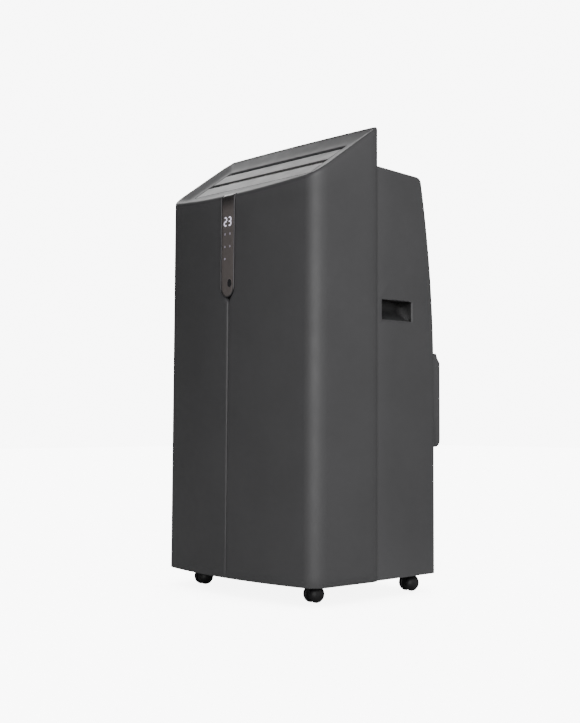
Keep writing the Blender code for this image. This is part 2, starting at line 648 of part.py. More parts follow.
# ---- exhaust ------------------------------------------------------------------------------------
def exhaust():
    """Square boss with a round bore for the hose, and the elbow that feeds it."""
    x, z = sum(EXHAUST_X) / 2, sum(EXHAUST_Z) / 2
    face, low, high = Y_BACK + GAP, EXHAUST_Z[0], EXHAUST_Z[1]
    side = [(face, low), *arc((Y_BOSS - 0.012, low + 0.012), 0.012, -90, 0, 4),
            (Y_BOSS, high - 0.016), (Y_BOSS - 0.006, high - 0.008), (Y_BOSS - 0.009, high), (face, high)]
    boss = extrusion("exhaust_outlet", side, *EXHAUST_X, ALONG_X)
    add(boss, rod("exhaust_collar", (x, Y_BACK - 0.014, z), (x, Y_BACK + 0.004, z),
                  EXHAUST_BORE + 0.0025, 32))
    cut(boss, rod("exhaust_bore", (x, 0.10, z), (x, 0.20, z), EXHAUST_BORE, 32))
    for offset in (-0.036, -0.012, 0.012, 0.036):
        add(boss, box("guard_%.3f" % offset, (x + offset - 0.0015, Y_BACK - 0.013, z - 0.0655),
                      (x + offset + 0.0015, Y_BACK - 0.010, z + 0.0655)))
    keep(boss, CASING)
    elbow = box("exhaust_elbow", (0.030, 0.020, low + 0.010), (0.170, 0.1215, high - 0.009))
    cut(elbow, box("elbow_inside", (0.02, 0.0225, low + 0.0125), (0.1675, 0.119, high - 0.0115)),
        rod("elbow_outlet", (x, 0.10, z), (x, 0.14, z), 0.0640, 32))
    keep(elbow, WHITE)


# ---- cooling circuit ----------------------------------------------------------------------------
def blower(name, x, z, wheel_y, radius, motor_y, scroll_y, outlet, wheel_blades=12):
    """A drum wheel on a motor shaft, inside a scroll with an inlet at its back."""
    y0, y1 = wheel_y
    wheel = turned(name + "_blower_wheel", [
        (0.0042, y1 - y0 - 0.030), (0.0042, 0.0), (radius, 0.0), (radius, 0.003), (0.011, 0.003),
        (0.011, y1 - y0 - 0.030), (0.0042, y1 - y0 - 0.030)], (x, y0, z), (0, 1, 0), 20)
    for i in range(wheel_blades):
        angle = 2 * math.pi * i / wheel_blades
        turn = Matrix.Translation((x, 0, z)) @ Matrix.Rotation(angle, 4, "Y")
        lean = Matrix.Translation((radius - 0.007, 0, 0)) @ Matrix.Rotation(math.radians(25), 4, "Y")
        add(wheel, box("%s_blade_%d" % (name, i), (-0.006, y0 + 0.001, -0.0010), (0.006, y1, 0.0010),
                       turn @ lean))
    add(wheel, turned(name + "_rim", [(radius - 0.003, y1 - y0), (radius - 0.003, y1 - y0 - 0.004),
                                      (radius + 0.001, y1 - y0 - 0.004), (radius + 0.001, y1 - y0),
                                      (radius - 0.003, y1 - y0)][::-1], (x, y0, z), (0, 1, 0), 20))
    keep(wheel, WHITE)
    outline = []
    for i in range(19):
        angle = math.radians(outlet["start"] + outlet["turn"] * 270 * i / 18)
        reach = radius + 0.006 + 0.014 * i / 18
        outline.append((x + reach * math.cos(angle), z + reach * math.sin(angle)))
    outline += outlet["mouth"]
    scroll = extrusion(name + "_scroll", outline, *scroll_y, ALONG_Y)
    middle = Vector((x, z))
    inner = []
    for point in outline[:19]:
        spoke = Vector(point) - middle
        inner.append(tuple(middle + spoke * (1 - 0.003 / spoke.length)))
    inner += outlet["inner_mouth"]
    front, back = scroll_y
    cut(scroll, extrusion(name + "_scroll_inside", inner, front + 0.0025, back - 0.0025, ALONG_Y),
        rod(name + "_scroll_inlet", (x, back - 0.01, z), (x, back + 0.01, z), radius - 0.008, 24),
        rod(name + "_shaft_hole", (x, front - 0.01, z), (x, front + 0.01, z), 0.008, 16))
    keep(scroll, WHITE)
    motor = rod(name + "_blower_motor", (x, motor_y[0], z), (x, motor_y[1], z), 0.030, 24)
    add(motor, rod(name + "_shaft", (x, motor_y[1] - 0.005, z), (x, y1 - 0.034, z), 0.0035, 12))
    keep(motor, STEEL)


def blowers():
    z = UPPER_BLOWER_Z
    blower("upper", 0.0, z, (-0.096, -0.042), 0.062, (-0.140, -0.108), (-0.104, -0.032),
           {"start": 0.0, "turn": -1, "mouth": [(-0.072, 0.6070), (0.068, 0.6070)],
            "inner_mouth": [(-0.069, 0.6090), (0.065, 0.6090)]})
    x, z = LOWER_BLOWER
    blower("lower", x, z, (0.028, 0.070), 0.056, (-0.020, 0.014), (0.020, 0.080),
           {"start": 270.0, "turn": -1, "mouth": [(0.0285, 0.3910), (0.0285, 0.2600)],
            "inner_mouth": [(0.0305, 0.3880), (0.0305, 0.2630)]})


def coils():
    """Finned blocks with their tube bends at both ends."""
    for name, low, high in (("evaporator_coil", (-0.138, 0.056, 0.446), (0.138, 0.090, 0.650)),
                            ("condenser_coil", (-0.146, 0.084, 0.066), (0.146, 0.116, 0.222))):
        coil = box(name, low, high)
        y = (low[1] + high[1]) / 2
        rows = 4
        for i in range(rows):
            z = low[2] + (i + 0.5) * (high[2] - low[2]) / rows
            for side in (-1, 1):
                edge = side * high[0]
                bend = [(edge - side * 0.004, y - 0.009, z), (edge + side * 0.006, y - 0.009, z),
                        (edge + side * 0.009, y, z), (edge + side * 0.006, y + 0.009, z),
                        (edge - side * 0.004, y + 0.009, z)]
                add(coil, tube("bend_%s_%d_%d" % (name, i, side), bend, 0.0035, 1))
        keep(coil, FINS)


def compressor():
    x, y = COMPRESSOR
    floor = Z_CASE + 0.0032
    body = turned("compressor", [(0.0, 0.218), (0.028, 0.216), (0.044, 0.205), (0.048, 0.190), (0.048, 0.080),
                                 (0.044, 0.068), (0.030, 0.062), (0.0, 0.062)], (x, y, 0), (0, 0, 1), 28)
    plate = [(x + 0.060 * math.cos(math.radians(a + d)), y + 0.060 * math.sin(math.radians(a + d)))
             for a in (90, 210, 330) for d in (-16, 16)]
    add(body, extrusion("compressor_plate", plate, 0.0600, 0.0640))
    for i, angle in enumerate((90, 210, 330)):
        place = (x + 0.050 * math.cos(math.radians(angle)), y + 0.050 * math.sin(math.radians(angle)))
        foot = rod("compressor_foot_%d" % (i + 1), (*place, floor + GAP), (*place, 0.0600 - GAP), 0.0095, 16)
        keep(foot, RUBBER)
    keep(body, ENAMEL)
    x, y = ACCUMULATOR
    bottle = turned("suction_accumulator", [(0.0, 0.192), (0.010, 0.190), (0.0180, 0.178), (0.0180, 0.102),
                                            (0.010, 0.090), (0.0, 0.088)], (x, y, 0), (0, 0, 1), 20)
    keep(bottle, ENAMEL)


def smooth_path(points, count=7):
    """A rounded path through the given corners, by quadratic arcs between the middles of its runs."""
    corners = [Vector(p) for p in points]
    path = [corners[0]]
    for before, corner, after in zip(corners, corners[1:], corners[2:]):
        start, end = (before + corner) / 2, (corner + after) / 2
        for i in range(count):
            t = i / (count - 1)
            path.append(start * (1 - t) ** 2 + corner * 2 * t * (1 - t) + end * t ** 2)
    path.append(corners[-1])
    return path


def pipes():
    """Copper lines: from the compressor to the condenser, and from the evaporator to the accumulator."""
    x, y = COMPRESSOR[0] - 0.020, COMPRESSOR[1]
    discharge = [(x, y, 0.2175), (x, y, 0.232), (-0.150, y, 0.232), (-0.166, 0.020, 0.228),
                 (-0.164, 0.060, 0.206), (-0.164, 0.100, 0.190)]
    keep(tube("discharge_pipe", smooth_path(discharge, 5), 0.0036, 1), COPPER)
    suction = [(ACCUMULATOR[0], ACCUMULATOR[1], 0.1925), (ACCUMULATOR[0], ACCUMULATOR[1], 0.224),
               (0.100, -0.080, 0.226), (0.176, -0.080, 0.260), (0.176, 0.000, 0.300), (0.176, -0.010, 0.395)]
    keep(tube("suction_pipe", smooth_path(suction, 5), 0.0042, 1), COPPER)


def partition():
    """Tray between the cold chamber above and the hot chamber below."""
    low, high = PARTITION_Z
    tray = box("partition_tray", (-0.178, -0.136, low), (0.178, 0.126, high))
    cut(tray, box("tray_inside", (-0.175, -0.133, low + 0.003), (0.175, 0.123, high + 0.01)))
    keep(tray, WHITE)


def electrics():
    box_low, box_high = (-0.176, -0.124, 0.432), (-0.104, -0.034, 0.598)
    case = box("electrical_box", box_low, box_high)
    cut(case, box("electrical_inside", (-0.1745, -0.1225, 0.4335), (-0.1055, -0.0355, 0.62)))
    keep(case, STEEL)
    keep(box("control_board", (-0.1700, -0.1180, 0.4380), (-0.1684, -0.0400, 0.5900)), BOARD)
    keep(rod("run_capacitor", (-0.1350, -0.0800, 0.4340), (-0.1350, -0.0800, 0.5100), 0.0200, 20), STEEL)


# ---- small outside pieces -----------------------------------------------------------------------
def rear_fittings():
    for name, height in DRAINS.items():
        head = 0.0085
        face = back_y(height - head)
        plug = rod(name, (DRAIN_X, face + GAP, height), (DRAIN_X, face + 0.0045, height), head, 20)
        add(plug, rod(name + "_stem", (DRAIN_X, face - 0.010, height),
                      (DRAIN_X, face + 0.002, height), 0.0054, 12))
        keep(plug, RUBBER)
    profile = [(0.0038, 0.0100), (0.0060, 0.0100), (0.0085, 0.0060), (0.0095, 0.0003),
               (0.0038, 0.0003), (0.0038, 0.0100)]
    bush = turned("cord_inlet_bush", profile, (CORD_X, Y_BACK, CORD_Z), (0, 1, 0), 20)
    keep(bush, BLACK)


# ---- casters ------------------------------------------------------------------------------------
def casters():
    """Each caster is a stem and centre body that swivel, and two domed wheels on one axle."""
    dome = [(0.0060, 0.0155), (0.0108, 0.0132), (0.0131, 0.0100), (WHEEL_RADIUS, 0.0068),
            (WHEEL_RADIUS, 0.0046), (0.0130, 0.0038), (0.0022, 0.0038)]
    profile = [(0.0, 0.0155)] + dome + [(r, -h) for r, h in reversed(dome)] + [(0.0, -0.0155)]
    for place, (x, y) in CASTERS.items():
        back = y + CASTER_TRAIL
        hub = WHEEL_RADIUS
        body = rod("caster_body_" + place, (x - 0.0034, back, hub), (x + 0.0034, back, hub), 0.0115, 20)
        add(body, box("caster_neck_" + place, (x - 0.0034, y - 0.0034, 0.0150), (x + 0.0034, back, 0.0286)),
            rod("caster_collar_" + place, (x, y, 0.0284), (x, y, 0.0292), 0.0075, 16),
            rod("caster_stem_" + place, (x, y, 0.0290), (x, y, 0.0525), 0.0040, 12))
        cut(body, rod("axle_hole_" + place, (x - 0.02, back, hub), (x + 0.02, back, hub), 0.0026, 10))
        set_origin(keep(body, BLACK), (x, y, 0.0290))
        wheels = turned("caster_wheels_" + place, profile, (x, back, WHEEL_RADIUS), (1, 0, 0), 16)
        keep(wheels, RUBBER)


front_panels()
top_deck()
rear_casing()
handle_cups()
base_pan()
display()
louvres()
outlet_duct()
guide_vanes()
inlets()
exhaust()
blowers()
coils()
compressor()
pipes()
partition()
electrics()
rear_fittings()
casters()
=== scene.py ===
import bpy
import bmesh
import math
import json
from mathutils import Matrix, Vector

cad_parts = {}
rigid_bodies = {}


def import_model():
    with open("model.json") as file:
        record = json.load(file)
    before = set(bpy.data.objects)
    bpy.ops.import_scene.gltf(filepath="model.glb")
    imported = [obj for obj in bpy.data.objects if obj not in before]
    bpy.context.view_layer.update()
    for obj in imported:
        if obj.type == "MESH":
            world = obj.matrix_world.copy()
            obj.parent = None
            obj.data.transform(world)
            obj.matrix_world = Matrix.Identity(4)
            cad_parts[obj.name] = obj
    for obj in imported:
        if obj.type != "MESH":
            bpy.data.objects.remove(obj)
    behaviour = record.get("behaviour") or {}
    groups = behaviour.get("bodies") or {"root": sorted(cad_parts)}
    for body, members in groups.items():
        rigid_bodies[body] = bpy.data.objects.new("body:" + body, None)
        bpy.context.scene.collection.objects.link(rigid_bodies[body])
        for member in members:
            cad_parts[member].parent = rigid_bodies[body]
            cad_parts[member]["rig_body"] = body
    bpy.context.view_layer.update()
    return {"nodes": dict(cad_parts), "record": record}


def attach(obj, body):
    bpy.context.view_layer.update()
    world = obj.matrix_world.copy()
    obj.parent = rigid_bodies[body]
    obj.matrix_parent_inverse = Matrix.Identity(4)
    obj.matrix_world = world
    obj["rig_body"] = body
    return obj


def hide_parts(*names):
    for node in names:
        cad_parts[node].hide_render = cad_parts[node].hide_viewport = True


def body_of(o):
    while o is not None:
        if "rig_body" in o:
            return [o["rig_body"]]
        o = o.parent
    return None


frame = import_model()
scene = bpy.context.scene

# ---- dimensions, in metres ----------------------------------------------------------------------
GAP = 0.0003
WALL = 0.0025
MERGE = 0.000002                       # points closer than this are one point

# front panels
FRONT_HALF = 0.19415                   # half width at the end of the front corners
SEAM_HALF = 0.1961                     # half width at the seam
CORNER = 0.031                         # radius of the front corners
CORNER_START = math.radians(-79.2)     # the corner's arc starts along the bowed face
Y_FRONT, Y_SEAM, Y_BACK = -0.1464, -0.0065, 0.1378
BOW = 0.0150                           # how far the face bows forward at its middle
SIDE_SLOPE = 0.018                     # how the side widens between the corner and the seam
REACH = FRONT_HALF - CORNER
SEAM_LIP_X = 0.1918
SEAM_ROLL_X, SEAM_ROLL_Y = 0.0043, 0.0175
Z_CASE, Z_BROW, Z_CREST = 0.0294, 0.6659, 0.7650

# slanted top
TOP_ARCH = 0.0010
CREST_CORNER = 0.0045                  # how far the crest's outer ends round down
CREST_CORNER_X, CREST_CORNER_Y = 0.0100, 0.0220
SLOPE = math.atan2(Z_CREST - Z_BROW, Y_SEAM - Y_FRONT)
DECK_FRAME = Matrix.Translation((0, Y_FRONT, Z_BROW)) @ Matrix.Rotation(SLOPE, 4, "X")
BAND = 0.0075                          # height of the deck's outer band
ROLL, CREST_ROLL = 0.0042, 0.0004      # rounding of the deck's rim
FIELD = 0.0073                         # depth of the louvre field
DECK_WALL = 0.0018
DECK_BACK_HALF, DECK_BACK_LOW = 0.1841, 0.676  # half width and foot of the deck's back wall
OPENING_WALL = 0.0150                  # depth of the wall round the louvre opening
OPENING_X, OPENING = 0.1536, (0.0296, 0.1278)
BLADES = {"louvre_blade_lower": (0.0299, 0.0685), "louvre_blade_upper": (0.0790, 0.1173)}
BLADE_END_GAP = 0.0009
BLADE_WALL = 0.0016
BLADE_EASE = 0.0006                    # softened front edge and ends
SLOT_ROLL = 0.0040                     # the blade's roll into the slot above it
BLADE_FRONT, BLADE_TAIL = 0.0030, 0.0075  # reach below the field, at the front edge and in the slot
CORE_SINK, CORE_DRAW = 0.0019, 0.25    # how far the CAD blade sinks and draws in under its skin

# display strip and crease
STRIP_HALF, TRIM, PROUD = 0.0160, 0.0016, 0.0020
STRIP_LOW = 0.4875
STRIP_CENTRE = STRIP_LOW + STRIP_HALF  # middle of the strip's round lower end
STRIP_LEVELS = (0.53, 0.56, 0.59, 0.62, 0.64)  # heights of the strip's straight rows
COVER_WALL = 0.0016
SEAT_HALF = STRIP_HALF + TRIM + GAP
SEAT_DEPTH = 0.0065
SEAT_EDGE, CREASE_EDGE = 0.0012, 0.0034  # run of the rounded edge at the seat and at the crease
FUNNEL = (0.5030, 0.4740)              # the seat narrows into the crease between these heights
CREASE_HALF = (0.0038, 0.0023)         # crease half width at the funnel and at the bottom
CREASE_DEPTH = (0.0055, 0.0040)
CREASE_GAP = 0.0006                    # half the dark gap at the crease's bottom

# digits, lamps and infrared window; each ellipse is (x, z, half width, half height)
DIGIT_WIDTH, DIGIT_HEIGHT, DIGIT_PEN = 0.0088, 0.0158, 0.0025
DIGIT_X, DIGIT_Z = 0.0055, 0.6118
LAMP_X = 0.0066
LAMPS = ((-LAMP_X, 0.5910, 0.00150, 0.00220), (LAMP_X, 0.5910, 0.00150, 0.00220),
         (-LAMP_X, 0.5700, 0.00150, 0.00198), (LAMP_X, 0.5700, 0.00150, 0.00198),
         (-LAMP_X, 0.5500, 0.00200, 0.00198))
RECEIVER = (0.0062, 0.5090, 0.0053, 0.0066)
PLATE, EYE_PLATE = 0.00008, 0.00012    # thickness of the lit plates and of the infrared window

# rear body
REAR_FRONT_HALF, REAR_BACK_HALF = 0.19145, 0.1887
Z_REAR_CASE, Z_REAR_TOP_FRONT, Z_REAR_TOP_BACK = 0.0302, 0.6986, 0.6939
LEAN_START, LEAN_RADIUS = 0.365, 1.67  # the back leans forward on an arc above this height
REAR_CORNER, TOP_EDGE = 0.009, 0.010
HANDLE_Y, HANDLE_Z = (0.0053, 0.0792), (0.4466, 0.4809)
CUP_MOUTH = 0.0004                     # the cup reaches this far past the recess all round
CUP_CHAMFER = 0.0016
CUP_SLOPE = 0.0270                     # depth that each ramp gains
CUP_FLOOR = 0.0300                     # the floor levels off at this depth
CUP_WALL = 0.0012
INLETS = ((0.440, 0.660), (0.070, 0.215))
INLET_X = 0.150
EXHAUST, EXHAUST_BORE = (0.098, 0.3195), 0.0678
DRAINS, DRAIN_X = (0.4150, 0.0480), -0.168
CORD = (-0.150, 0.250)
SMALL_HOLE = 0.0060                    # radius of the drain and cord holes

# light: the world's strength, and soft patches as (direction, cosine at the rim, cosine when full, gain)
BASE_LIGHT = 0.19
BACKDROP = 8.3
PATCHES = (((-0.74, 0.58, 0.33), 0.88, 1.00, 2.80),
           ((-0.95, -0.30, 0.0), 0.55, 0.95, -0.14),
           ((0.98, -0.10, 0.12), 0.10, 0.95, 0.90))


# ---- materials ----------------------------------------------------------------------------------
def shader(name, colour, roughness, metallic=0.0, **sockets):
    """A Principled material; the extra sockets hold values that are the same all over."""
    made = bpy.data.materials.new(name)
    made.use_nodes = True
    bsdf = made.node_tree.nodes["Principled BSDF"]
    bsdf.inputs["Base Color"].default_value = (*colour, 1.0)
    bsdf.inputs["Roughness"].default_value = roughness
    bsdf.inputs["Metallic"].default_value = metallic
    for socket, value in sockets.items():
        bsdf.inputs[socket.replace("_", " ")].default_value = value
    return made, made.node_tree, bsdf


def add_node(tree, kind, inputs=None, **settings):
    node = tree.nodes.new(kind)
    for key, value in settings.items():
        setattr(node, key, value)
    for key, value in (inputs or {}).items():
        if isinstance(value, bpy.types.NodeSocket):
            tree.links.new(value, node.inputs[key])
        else:
            node.inputs[key].default_value = value
    return node


def place(tree):
    return add_node(tree, "ShaderNodeTexCoord").outputs["Object"]


def noise(tree, scale, detail=2.0, stretch=None):
    where = place(tree)
    if stretch:
        where = add_node(tree, "ShaderNodeMapping", {"Vector": where, "Scale": stretch}).outputs[0]
    inputs = {"Vector": where, "Scale": scale, "Detail": detail}
    return add_node(tree, "ShaderNodeTexNoise", inputs).outputs["Fac"]


def spread(tree, fac, low, high, start=0.3, end=0.7):
    """A factor taken from one range into another."""
    inputs = {"Value": fac, "From Min": start, "From Max": end, "To Min": low, "To Max": high}
    return add_node(tree, "ShaderNodeMapRange", inputs).outputs[0]


def blend_colour(tree, fac, first, second):
    """A mix of two colours, each a fixed colour or a socket."""
    node = add_node(tree, "ShaderNodeMix", data_type="RGBA")
    for index, value in ((0, fac), (6, first), (7, second)):
        if isinstance(value, bpy.types.NodeSocket):
            tree.links.new(value, node.inputs[index])
        else:
            node.inputs[index].default_value = value if index == 0 else (*value, 1.0)
    return node.outputs[2]


def scaled(colour, factor):
    return tuple(c * factor for c in colour)


def moulded(name, colour, roughness, grain=0.000012, grain_scale=1500.0, variation=0.06, wear=0.35):
    """Moulded plastic: a fine eroded grain, slow changes of tone and paler worn edges."""
    made, tree, bsdf = shader(name, colour, roughness)
    slow = noise(tree, 9.0, 3.0)
    deep, pale = scaled(colour, 1 - variation), scaled(colour, 1 + variation)
    body = blend_colour(tree, spread(tree, slow, 0.0, 1.0), deep, pale)
    edge = add_node(tree, "ShaderNodeNewGeometry").outputs["Pointiness"]
    worn = spread(tree, edge, 0.0, wear, 0.52, 0.62)
    tree.links.new(blend_colour(tree, worn, body, scaled(colour, 1.7)), bsdf.inputs["Base Color"])
    patches = noise(tree, 38.0, 4.0)
    tree.links.new(spread(tree, patches, roughness - 0.035, roughness + 0.035), bsdf.inputs["Roughness"])
    inputs = {"Vector": place(tree), "Scale": grain_scale}
    pits = add_node(tree, "ShaderNodeTexVoronoi", inputs).outputs["Distance"]
    bump = add_node(tree, "ShaderNodeBump", {"Strength": 0.6, "Distance": grain, "Height": pits})
    tree.links.new(bump.outputs[0], bsdf.inputs["Normal"])
    return made


def brushed(name, colour, roughness, stretch, scale=220.0, depth=0.00002):
    """Metal with fine drawn lines along one direction."""
    made, tree, bsdf = shader(name, colour, roughness, metallic=1.0)
    lines = noise(tree, scale, 4.0, stretch)
    tone = blend_colour(tree, spread(tree, lines, 0.0, 1.0), scaled(colour, 0.82), scaled(colour, 1.1))
    tree.links.new(tone, bsdf.inputs["Base Color"])
    tree.links.new(spread(tree, lines, roughness - 0.08, roughness + 0.10), bsdf.inputs["Roughness"])
    bump = add_node(tree, "ShaderNodeBump", {"Strength": 0.5, "Distance": depth, "Height": lines})
    tree.links.new(bump.outputs[0], bsdf.inputs["Normal"])
    return made


def striped(name, colour, other, pitch, axis, roughness, metallic, depth=0.0004):
    """Thin sheets or wires side by side, as in a coil's fins or a filter's mesh."""
    made, tree, bsdf = shader(name, colour, roughness, metallic)
    waves = []
    for direction in axis:
        inputs = {"Vector": place(tree), "Scale": 0.314 / pitch}
        waves.append(add_node(tree, "ShaderNodeTexWave", inputs, bands_direction=direction).outputs["Fac"])
    height = waves[0]
    if len(waves) > 1:
        both = {0: waves[0], 1: waves[1]}
        height = add_node(tree, "ShaderNodeMath", both, operation="MAXIMUM").outputs[0]
    tree.links.new(blend_colour(tree, height, other, colour), bsdf.inputs["Base Color"])
    bump = add_node(tree, "ShaderNodeBump", {"Strength": 0.8, "Distance": depth, "Height": height})
    tree.links.new(bump.outputs[0], bsdf.inputs["Normal"])
    return made


CASING = (0.0612, 0.0609, 0.0634)
MAT = {
    "casing": moulded("casing_plastic", CASING, 0.50),
    "deck": moulded("deck_plastic", CASING, 0.40),
    "blade": moulded("blade_plastic", (0.085, 0.083, 0.084), 0.34),
    "black": moulded("black_plastic", (0.008, 0.008, 0.009), 0.48, wear=0.25),
    "nylon": moulded("wheel_nylon", (0.009, 0.009, 0.010), 0.46, grain_scale=900.0),
    "rubber": moulded("rubber", (0.020, 0.020, 0.021), 0.75, grain=0.00006, wear=0.1),
    "white": moulded("white_plastic", (0.70, 0.69, 0.66), 0.42, wear=0.05),
    "enamel": moulded("black_enamel", (0.018, 0.018, 0.020), 0.22, grain=0.00002, grain_scale=500.0),
    "bright": brushed("trim_metal", (0.115, 0.112, 0.116), 0.36, (1.0, 1.0, 0.02), depth=0.000003),
    "steel": brushed("steel", (0.56, 0.56, 0.57), 0.34, (0.05, 1.0, 1.0)),
    "copper": brushed("copper", (0.78, 0.40, 0.24), 0.28, (1.0, 1.0, 0.1)),
    "fins": striped("fins", (0.80, 0.82, 0.84), (0.10, 0.11, 0.12), 0.0018, "X", 0.35, 1.0),
    "mesh": striped("filter_mesh", (0.05, 0.06, 0.07), (0.008, 0.009, 0.010), 0.0016, "XZ", 0.6, 0.0),
}


def recess_painted_shade_material():
    """The casing's plastic with painted shade: its colour darkens to near black where a recess is deep."""
    made = moulded("cup_plastic_painted_shade", CASING, 0.50)
    tree = made.node_tree
    bsdf = tree.nodes["Principled BSDF"]
    openness = add_node(tree, "ShaderNodeAmbientOcclusion", {"Distance": 0.045}, samples=8).outputs["AO"]
    plastic = bsdf.inputs["Base Color"].links[0].from_socket
    painted_shade_mask = spread(tree, openness, 0.0, 1.0, 0.38, 0.85)
    # painted shade: ambient occlusion turns the colour near black deep in the recess
    painted_shade_colour = blend_colour(tree, painted_shade_mask, (0.006, 0.006, 0.006), plastic)
    tree.links.new(painted_shade_colour, bsdf.inputs["Base Color"])
    return made


def board_material():
    """A circuit board: green lacquer in two tones with copper tracks between."""
    made, tree, bsdf = shader("circuit_board", (0.02, 0.11, 0.05), 0.35)
    inputs = {"Vector": place(tree), "Scale": 90.0, "Mortar Size": 0.03, "Color1": (0.018, 0.10, 0.045, 1),
              "Color2": (0.03, 0.15, 0.06, 1), "Mortar": (0.45, 0.38, 0.20, 1)}
    tracks = add_node(tree, "ShaderNodeTexBrick", inputs)
    tree.links.new(tracks.outputs["Color"], bsdf.inputs["Base Color"])
    relief = {"Strength": 0.4, "Distance": 0.0002, "Height": tracks.outputs["Fac"]}
    bump = add_node(tree, "ShaderNodeBump", relief)
    tree.links.new(bump.outputs[0], bsdf.inputs["Normal"])
    return made


def gloss_material():
    """Display window: smoke grey, with a painted reflection darkening its top to nearly black, and faint
    wipe marks.
    """
    made, tree, bsdf = shader("display_gloss", (0.05, 0.045, 0.043), 0.12,
                              Coat_Weight=0.5, Coat_Roughness=0.04)
    height = add_node(tree, "ShaderNodeSeparateXYZ", {"Vector": place(tree)}).outputs["Z"]
    # painted reflection: the colour turns nearly black over the window's top by height
    dark = spread(tree, height, 0.0, 1.0, 0.630, 0.648)
    tone = blend_colour(tree, dark, (0.120, 0.106, 0.102), (0.030, 0.027, 0.027))
    tree.links.new(tone, bsdf.inputs["Base Color"])
    marks = noise(tree, 60.0, 5.0, (1.0, 1.0, 0.25))
    tree.links.new(spread(tree, marks, 0.10, 0.18), bsdf.inputs["Roughness"])
    return made


def lit_material(name, colour, strength):
    """A lit segment: dots of the lamp behind give it a slightly uneven glow."""
    made, tree, bsdf = shader(name, (0.05, 0.05, 0.05), 0.3)
    bsdf.inputs["Emission Strength"].default_value = strength
    glow = noise(tree, 350.0, 1.0)
    tree.links.new(blend_colour(tree, spread(tree, glow, 0.0, 1.0), scaled(colour, 0.88), colour),
                   bsdf.inputs["Emission Color"])
    return made


MAT["cup"] = recess_painted_shade_material()
MAT["board"] = board_material()
MAT["gloss"] = gloss_material()
MAT["lit"] = lit_material("lit_segments", (0.88, 0.84, 1.0), 1.35)
MAT["lamp"] = lit_material("lamp_dots", (0.84, 0.76, 0.95), 0.30)


# ---- mesh helpers -------------------------------------------------------------------------------
def sheet(name, rows, closed=False):
    """A sheet through rows of points; closed joins the ends of each row."""
    work = bmesh.new()
    made = [[work.verts.new(p) for p in row] for row in rows]
    for low, high in zip(made, made[1:]):
        count = len(low)
        for i in range(count if closed else count - 1):
            j = (i + 1) % count
            work.faces.new((low[i], low[j], high[j], high[i]))
    bmesh.ops.remove_doubles(work, verts=work.verts, dist=MERGE)
    return from_bmesh(name, work)


def from_bmesh(name, work):
    mesh = bpy.data.meshes.new(name)
    work.to_mesh(mesh)
    work.free()
    made = bpy.data.objects.new(name, mesh)
    scene.collection.objects.link(made)
    return made


def modifier(obj, kind, **settings):
    step = obj.modifiers.new(kind.lower(), kind)
    for key, value in settings.items():
        setattr(step, key, value)
    return step


def settle(obj, angle=35.0):
    """Apply the modifiers and shade smooth up to an angle."""
    bpy.context.view_layer.update()
    shape = bpy.data.meshes.new_from_object(obj.evaluated_get(bpy.context.evaluated_depsgraph_get()))
    obj.modifiers.clear()
    obj.data = shape
    shape.shade_smooth()
    shape.set_sharp_from_angle(angle=math.radians(angle))
    return obj


def piece(obj, material, body, slot, *nodes):
    """Finish a piece: its material, the body it rides on and the nodes it stands for; slot is not used."""
    obj.data.materials.clear()
    obj.data.materials.append(MAT[material])
    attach(obj, body)
    if nodes:
        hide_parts(*nodes)
    return obj


def box_cutter(low, high):
    work = bmesh.new()
    bmesh.ops.create_cube(work, size=1.0)
    for v in work.verts:
        v.co = Vector([low[i] + (high[i] - low[i]) * (v.co[i] + 0.5) for i in range(3)])
    return from_bmesh("cutter", work)


def round_cutter(x, z, radius, steps=48):
    """A drum along y that reaches through the back wall."""
    low, high = 0.10, 0.20
    work = bmesh.new()
    bmesh.ops.create_cone(work, cap_ends=True, segments=steps, radius1=radius, radius2=radius,
                          depth=high - low)
    turn = Matrix.Translation((x, (low + high) / 2, z)) @ Matrix.Rotation(math.pi / 2, 4, "X")
    bmesh.ops.transform(work, matrix=turn, verts=work.verts)
    return from_bmesh("cutter", work)


def cut(obj, *cutters):
    """Cut the cutters' shapes out of a piece, then remove the cutters."""
    for cutter in cutters:
        modifier(obj, "BOOLEAN", operation="DIFFERENCE", object=cutter, solver="EXACT")
    settle(obj)
    for cutter in cutters:
        bpy.data.objects.remove(cutter, do_unlink=True)
    return obj


def refined(node, material, slot, edge=0.0008, segments=2, angle=30.0):
    """A node's own shape with softened edges."""
    source = frame["nodes"][node]
    work = bmesh.new()
    work.from_mesh(source.data)
    bmesh.ops.remove_doubles(work, verts=work.verts, dist=0.00001)
    bmesh.ops.dissolve_limit(work, angle_limit=math.radians(0.8), verts=work.verts, edges=work.edges)
    made = from_bmesh(node + "_finish", work)
    modifier(made, "BEVEL", width=edge, segments=segments, limit_method="ANGLE",
             angle_limit=math.radians(angle), use_clamp_overlap=True)
    modifier(made, "WEIGHTED_NORMAL", keep_sharp=True)
    settle(made, 50.0)
    return piece(made, material, body_of(source)[0], slot, node)


# ---- casing shapes ------------------------------------------------------------------------------
def front_y(x):
    """The bowed front face."""
    return Y_FRONT - BOW * (1 - (x / REACH) ** 2)


def rim_height(x, y):
    """Height of the slanted top over a place in plan: its plane, less its arch and its rounded ends."""
    out = max(0.0, (abs(x) - (SEAM_HALF - CREST_CORNER_X)) / CREST_CORNER_X)
    back = max(0.0, 1.0 - (Y_SEAM - y) / CREST_CORNER_Y)
    plane = Z_BROW + (y - Y_FRONT) * math.tan(SLOPE)
    return plane - TOP_ARCH * (x / FRONT_HALF) ** 2 / math.cos(SLOPE) - CREST_CORNER * (out * back) ** 2


def corner_start():
    """The x where the face ends and the corner's arc begins."""
    return REACH + CORNER * math.cos(CORNER_START)


